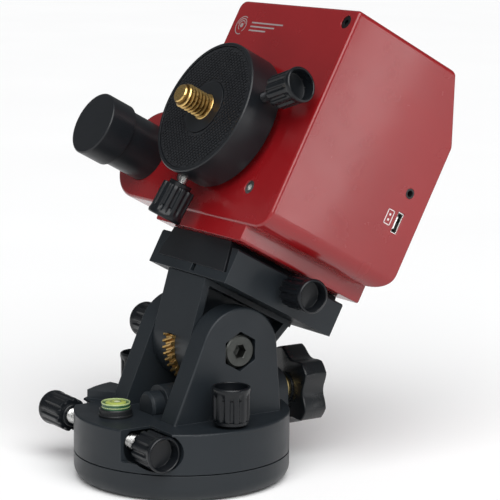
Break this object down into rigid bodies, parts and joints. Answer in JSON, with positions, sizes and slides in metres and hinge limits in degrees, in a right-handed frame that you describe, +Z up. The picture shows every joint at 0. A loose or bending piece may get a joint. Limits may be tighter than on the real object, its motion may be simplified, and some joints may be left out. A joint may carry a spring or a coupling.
{
  "type": "star tracker mount",
  "caption": "Motorised polar-axis camera tracker on a dovetail saddle, carried by an altitude yoke with worm drive and an azimuth base for a tripod.",
  "frame": {"origin": "centre of the base's underside, on the azimuth axis and at the mouth of the tripod socket", "axes": "+Z up along the azimuth axis; -Y forwards, the way the camera disc faces; +X towards the side with the USB and cable sockets"},
  "size_m": [0.1142, 0.1311, 0.1724],
  "materials": {
    "black_casting": "satin black powder coat on cast aluminium",
    "base_casting": "satin black paint on a turned iron base plate",
    "red_housing": "gloss deep red paint on aluminium",
    "rear_cover": "gloss deep red paint on aluminium",
    "black_anodised": "satin black anodised aluminium",
    "knob_plastic": "semi-gloss black moulded plastic",
    "star_plastic": "semi-gloss black moulded plastic",
    "rubber_pad": "black rubber with a square grid of pips",
    "steel": "bright turned steel",
    "black_steel": "black oxide steel",
    "stud_brass": "turned brass, lightly dulled",
    "gear_brass": "cut brass with grease in the roots",
    "vial": "clear lens over lime-green fluid",
    "cup_plastic": "black moulded plastic",
    "glide_plastic": "ivory acetal",
    "lens_glass": "coated optical glass",
    "pcb": "green solder mask",
    "battery": "silver-grey pouch foil",
    "socket_metal": "tinned steel shell",
    "socket_plastic": "black moulded plastic",
    "button_plastic": "black moulded plastic"
  },
  "bodies": {
    "base": {"base_plate": "base_casting", "tripod_bushing": "stud_brass", "azimuth_pin": "steel", "azimuth_glide_ring": "glide_plastic"},
    "azimuth_yoke": {"yoke_housing": "black_casting", "level_cup": "cup_plastic", "level_vial": "vial", "altitude_bolt": "steel", "altitude_washers": "glide_plastic", "worm_front_cap": "black_casting", "worm_rear_bush": "gear_brass", "azimuth_retaining_screw": "black_steel"},
    "right_adjust_travel": {"right_azimuth_adjust_screw": "steel"},
    "right_adjust_grip": {"right_azimuth_adjust_knob": "knob_plastic"},
    "left_adjust_travel": {"left_azimuth_adjust_screw": "steel"},
    "left_adjust_grip": {"left_azimuth_adjust_knob": "knob_plastic"},
    "right_azimuth_lock": {"right_azimuth_lock_screw": "steel", "right_azimuth_lock_knob": "knob_plastic"},
    "left_azimuth_lock": {"left_azimuth_lock_screw": "steel", "left_azimuth_lock_knob": "knob_plastic"},
    "altitude_lock": {"altitude_lock_knob": "knob_plastic"},
    "altitude_worm_shaft": {"altitude_worm": "steel", "star_knob": "star_plastic"},
    "altitude_head": {"altitude_block": "black_casting", "altitude_worm_sector": "gear_brass", "saddle": "black_casting", "saddle_screws": "black_steel"},
    "saddle_clamp_travel": {"saddle_clamp_screw": "steel"},
    "saddle_clamp_grip": {"saddle_clamp_knob": "knob_plastic"},
    "tracker": {"dovetail_bar": "black_anodised", "dovetail_screws": "black_steel", "front_housing": "red_housing", "rear_cover": "rear_cover", "front_screws": "steel", "case_screws": "black_steel", "ra_bearings": "steel", "worm_bracket": "black_anodised", "ra_motor": "steel", "circuit_board": "pcb", "usb_socket": "socket_metal", "jack_socket": "socket_plastic", "battery_pack": "battery", "polar_tube": "black_anodised", "polar_objective": "lens_glass"},
    "ra_axis": {"ra_shaft": "steel", "ra_worm_wheel": "gear_brass"},
    "camera_plate": {"camera_disc": "black_anodised", "disc_pad": "rubber_pad", "camera_stud": "stud_brass"},
    "right_disc_clamp_travel": {"right_disc_clamp_screw": "steel"},
    "right_disc_clamp_grip": {"right_disc_clamp_knob": "knob_plastic"},
    "lower_disc_clamp_travel": {"lower_disc_clamp_screw": "steel"},
    "lower_disc_clamp_grip": {"lower_disc_clamp_knob": "knob_plastic"},
    "ra_worm_shaft": {"ra_worm": "steel", "worm_spur_gear": "gear_brass"},
    "motor_drive": {"motor_pinion": "gear_brass"},
    "polar_cap_body": {"polar_cap": "black_anodised"},
    "polar_focus": {"polar_eyepiece": "black_anodised", "polar_eye_lens": "lens_glass"},
    "power_button_body": {"power_button": "button_plastic"}
  },
  "joints": [
    {"name": "azimuth_turn", "type": "hinge", "parent": "base", "child": "azimuth_yoke", "pos_m": [0, 0, 0], "axis": [0, 0, 1], "range_deg": [-6, 6]},
    {"name": "right_adjust_slide", "type": "slide", "parent": "azimuth_yoke", "child": "right_adjust_travel", "axis": [1, 0, 0], "range_m": [-0.0035, 0.0035]},
    {"name": "right_adjust_spin", "type": "hinge", "parent": "right_adjust_travel", "child": "right_adjust_grip", "pos_m": [0.026, -0.0275, 0.0185], "axis": [1, 0, 0], "range_deg": [-1200, 1200]},
    {"name": "left_adjust_slide", "type": "slide", "parent": "azimuth_yoke", "child": "left_adjust_travel", "axis": [1, 0, 0], "range_m": [-0.003, 0.0055]},
    {"name": "left_adjust_spin", "type": "hinge", "parent": "left_adjust_travel", "child": "left_adjust_grip", "pos_m": [-0.041, -0.0275, 0.0185], "axis": [1, 0, 0], "range_deg": [-1081, 1981]},
    {"name": "right_azimuth_lock_turn", "type": "hinge", "parent": "azimuth_yoke", "child": "right_azimuth_lock", "pos_m": [0.0328, 0.0005, 0.03], "axis": [0, 0, 1], "range_deg": [0, 360]},
    {"name": "left_azimuth_lock_turn", "type": "hinge", "parent": "azimuth_yoke", "child": "left_azimuth_lock", "pos_m": [-0.0328, 0.0005, 0.03], "axis": [0, 0, 1], "range_deg": [0, 360]},
    {"name": "altitude_lock_turn", "type": "hinge", "parent": "azimuth_yoke", "child": "altitude_lock", "pos_m": [-0.035, 0.0109, 0.0494], "axis": [-1, 0, 0], "range_deg": [0, 360]},
    {"name": "altitude_turn", "type": "hinge", "parent": "azimuth_yoke", "child": "altitude_head", "pos_m": [0, 0.0109, 0.0494], "axis": [-1, 0, 0], "range_deg": [-28, 12]},
    {"name": "altitude_worm_spin", "type": "hinge", "parent": "azimuth_yoke", "child": "altitude_worm_shaft", "pos_m": [0, 0.03, 0.0274], "axis": [0, 1, 0], "range_deg": [-1300, 1300]},
    {"name": "saddle_clamp_slide", "type": "slide", "parent": "altitude_head", "child": "saddle_clamp_travel", "axis": [1, 0, 0], "range_m": [0, 0.003]},
    {"name": "saddle_clamp_spin", "type": "hinge", "parent": "saddle_clamp_travel", "child": "saddle_clamp_grip", "pos_m": [0.035, 0.0288, 0.07124], "axis": [1, 0, 0], "range_deg": [0, 1081]},
    {"name": "dovetail_slide", "type": "slide", "parent": "altitude_head", "child": "tracker", "axis": [0, -0.8821, 0.471], "range_m": [-0.007, 0.01]},
    {"name": "ra_turn", "type": "hinge", "parent": "tracker", "child": "ra_axis", "pos_m": [0, 0.00877, 0.1367], "axis": [0, -0.8821, 0.471], "range_deg": [-40, 150]},
    {"name": "ra_worm_spin", "type": "hinge", "parent": "tracker", "child": "ra_worm_shaft", "pos_m": [0, 0.06524, 0.13737], "axis": [1, 0, 0], "range_deg": [-2900, 10900]},
    {"name": "motor_pinion_spin", "type": "hinge", "parent": "tracker", "child": "motor_drive", "pos_m": [0.024, 0.07847, 0.13031], "axis": [1, 0, 0], "range_deg": [-21800, 5900]},
    {"name": "disc_release", "type": "slide", "parent": "ra_axis", "child": "camera_plate", "axis": [0, -0.8821, 0.471], "range_m": [0, 0.012]},
    {"name": "right_disc_clamp_slide", "type": "slide", "parent": "camera_plate", "child": "right_disc_clamp_travel", "axis": [0.9354, 0.1665, 0.3118], "range_m": [0, 0.0021]},
    {"name": "right_disc_clamp_spin", "type": "hinge", "parent": "right_disc_clamp_travel", "child": "right_disc_clamp_grip", "pos_m": [0.03555, 0.02127, 0.14525], "axis": [0.9354, 0.1665, 0.3118], "range_deg": [0, 1081]},
    {"name": "lower_disc_clamp_slide", "type": "slide", "parent": "camera_plate", "child": "lower_disc_clamp_travel", "axis": [-0.1236, -0.4674, -0.8754], "range_m": [0, 0.0021]},
    {"name": "lower_disc_clamp_spin", "type": "hinge", "parent": "lower_disc_clamp_travel", "child": "lower_disc_clamp_grip", "pos_m": [-0.00445, -0.00189, 0.10189], "axis": [-0.1236, -0.4674, -0.8754], "range_deg": [0, 1081]},
    {"name": "polar_cap_slide", "type": "slide", "parent": "tracker", "child": "polar_cap_body", "axis": [0, -0.8821, 0.471], "range_m": [0, 0.014]},
    {"name": "polar_focus_turn", "type": "hinge", "parent": "tracker", "child": "polar_focus", "pos_m": [-0.051, 0.08006, 0.07913], "axis": [0, -0.8821, 0.471], "continuous": true},
    {"name": "power_button_press", "type": "slide", "parent": "tracker", "child": "power_button_body", "axis": [0, -0.8821, 0.471], "range_m": [0, 0.0008], "stiffness_N_per_m": 400, "springref_m": -0.0005}
  ],
  "couplings": [
    {"joint": "right_adjust_slide", "follows": "azimuth_turn", "m_per_rad": -0.0275},
    {"joint": "right_adjust_spin", "follows": "azimuth_turn", "ratio": -172.79},
    {"joint": "left_adjust_spin", "follows": "left_adjust_slide", "rad_per_m": 6283.2},
    {"joint": "altitude_worm_spin", "follows": "altitude_turn", "ratio": 43},
    {"joint": "saddle_clamp_spin", "follows": "saddle_clamp_slide", "rad_per_m": 6283.2},
    {"joint": "ra_worm_spin", "follows": "ra_turn", "ratio": 72},
    {"joint": "motor_pinion_spin", "follows": "ra_turn", "ratio": -144},
    {"joint": "right_disc_clamp_spin", "follows": "right_disc_clamp_slide", "rad_per_m": 8976},
    {"joint": "lower_disc_clamp_spin", "follows": "lower_disc_clamp_slide", "rad_per_m": 8976}
  ]
}
